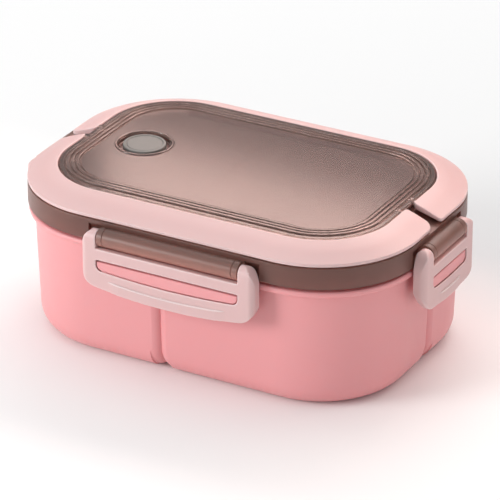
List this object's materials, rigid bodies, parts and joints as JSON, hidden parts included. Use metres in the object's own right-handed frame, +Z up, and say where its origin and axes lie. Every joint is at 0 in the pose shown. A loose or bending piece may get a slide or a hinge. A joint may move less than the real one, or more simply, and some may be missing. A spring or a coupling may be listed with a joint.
{
  "type": "bento lunch box",
  "caption": "Rounded lunch box: compartment tub, smoky clear lid with seal, window latches on every side, two half-ring carry handles and a steam vent.",
  "frame": {"origin": "centre of the overall plan outline, on the surface the tub stands on", "axes": "+X along the long side, +Y away from the front latch, +Z up"},
  "size_m": [0.2098, 0.1508, 0.081],
  "materials": {
    "tub_pink": "satin moulded polypropylene",
    "lid_smoke": "smoky translucent moulded plastic, frosted in the middle",
    "trim_pink": "satin moulded plastic",
    "silicone": "soft translucent silicone",
    "vent_grey": "matt grey silicone"
  },
  "bodies": {
    "tub": {"base_tub": "tub_pink"},
    "lid": {"lid_shell": "lid_smoke", "lid_seal": "silicone"},
    "latch_front": {"latch_front": "trim_pink"},
    "latch_back": {"latch_back": "trim_pink"},
    "latch_right": {"latch_right": "trim_pink"},
    "latch_left": {"latch_left": "trim_pink"},
    "handle_front": {"handle_front": "trim_pink"},
    "handle_back": {"handle_back": "trim_pink"},
    "vent": {"vent_plug": "vent_grey"}
  },
  "joints": [
    {"name": "lid_lift", "type": "slide", "parent": "tub", "child": "lid", "axis": [0, 0, 1], "range_m": [0, 0.018]},
    {"name": "latch_front_hinge", "type": "hinge", "parent": "lid", "child": "latch_front", "pos_m": [0, -0.0705, 0.0668], "axis": [-1, 0, 0], "range_deg": [0, 140.1]},
    {"name": "latch_back_hinge", "type": "hinge", "parent": "lid", "child": "latch_back", "pos_m": [0, 0.0705, 0.0668], "axis": [1, 0, 0], "range_deg": [0, 140.1]},
    {"name": "latch_right_hinge", "type": "hinge", "parent": "lid", "child": "latch_right", "pos_m": [0.1, 0, 0.0668], "axis": [0, -1, 0], "range_deg": [0, 140.1]},
    {"name": "latch_left_hinge", "type": "hinge", "parent": "lid", "child": "latch_left", "pos_m": [-0.1, 0, 0.0668], "axis": [0, 1, 0], "range_deg": [0, 140.1]},
    {"name": "handle_front_hinge", "type": "hinge", "parent": "lid", "child": "handle_front", "pos_m": [0, -0.0064, 0.0786], "axis": [-1, 0, 0], "range_deg": [0, 90]},
    {"name": "handle_back_hinge", "type": "hinge", "parent": "lid", "child": "handle_back", "pos_m": [0, 0.0064, 0.0786], "axis": [1, 0, 0], "range_deg": [0, 90]},
    {"name": "vent_pull", "type": "slide", "parent": "lid", "child": "vent", "axis": [0, 0, 1], "range_m": [0, 0.0034]}
  ],
  "couplings": [
    {"joint": "latch_front_hinge", "follows": "lid_lift", "rad_per_m": 135.75},
    {"joint": "latch_back_hinge", "follows": "lid_lift", "rad_per_m": 135.75},
    {"joint": "latch_right_hinge", "follows": "lid_lift", "rad_per_m": 135.75},
    {"joint": "latch_left_hinge", "follows": "lid_lift", "rad_per_m": 135.75}
  ]
}
